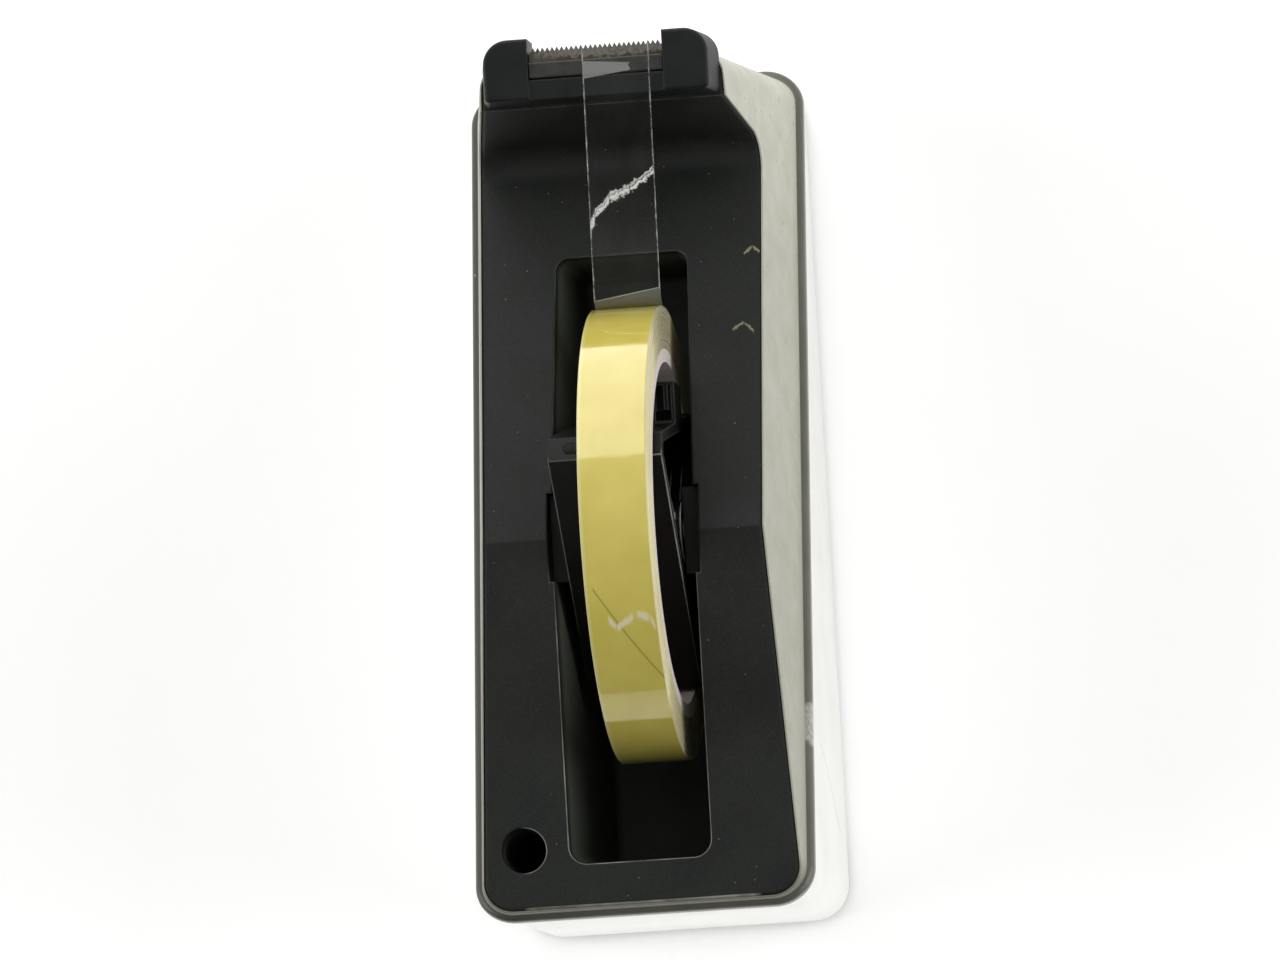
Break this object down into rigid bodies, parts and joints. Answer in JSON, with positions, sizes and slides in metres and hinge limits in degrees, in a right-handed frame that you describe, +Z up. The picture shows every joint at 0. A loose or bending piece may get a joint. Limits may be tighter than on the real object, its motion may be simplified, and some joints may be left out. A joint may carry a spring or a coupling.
{
  "type": "desk tape dispenser",
  "caption": "Weighted desk dispenser for adhesive tape: the roll turns on a lift-out hub in a deep well, and the tape is drawn over a ramp to a serrated blade.",
  "frame": {"origin": "on the desk, under the middle of the whole dispenser", "axes": "+Z up, -Y towards the blade, +X towards the pen socket's side"},
  "size_m": [0.076, 0.1964, 0.1262],
  "materials": {
    "foot_rubber": "matte",
    "white_shell": "satin",
    "ballast_cast": "rough cast",
    "black_gloss": "gloss",
    "grey_shell": "satin",
    "black_deck": "fine grain",
    "screw_steel": "zinc plated",
    "black_cap": "satin",
    "blade_steel": "worn steel",
    "clamp_plastic": "satin",
    "axle_steel": "bright",
    "black_block": "satin",
    "black_hub": "satin",
    "grip_rubber": "matte",
    "core_card": "uncoated card",
    "tape_film": "gloss film",
    "tape_strip_film": "clear film"
  },
  "bodies": {
    "housing": {"foot_mat": "foot_rubber", "lower_housing": "white_shell", "ballast_block": "ballast_cast", "trim_band": "black_gloss", "upper_housing": "grey_shell", "deck": "black_deck", "deck_screws": "screw_steel", "nose_cap": "black_cap", "nose_screws": "screw_steel", "blade": "blade_steel", "blade_clamp": "clamp_plastic"},
    "axle_carrier": {"axle_shaft": "axle_steel", "axle_block_left": "black_block", "axle_block_right": "black_block", "tape_strip": "tape_strip_film"},
    "reel": {"hub_left": "black_hub", "hub_right": "black_hub", "hub_grips": "grip_rubber", "tape_core": "core_card", "tape_roll": "tape_film"}
  },
  "joints": [
    {"name": "reel_lift", "type": "slide", "parent": "housing", "child": "axle_carrier", "axis": [0, 0, 1], "range_m": [0, 0.08]},
    {"name": "roll_spin", "type": "hinge", "parent": "axle_carrier", "child": "reel", "pos_m": [0, 0.0132, 0.0755], "axis": [1, 0, 0], "continuous": true}
  ]
}
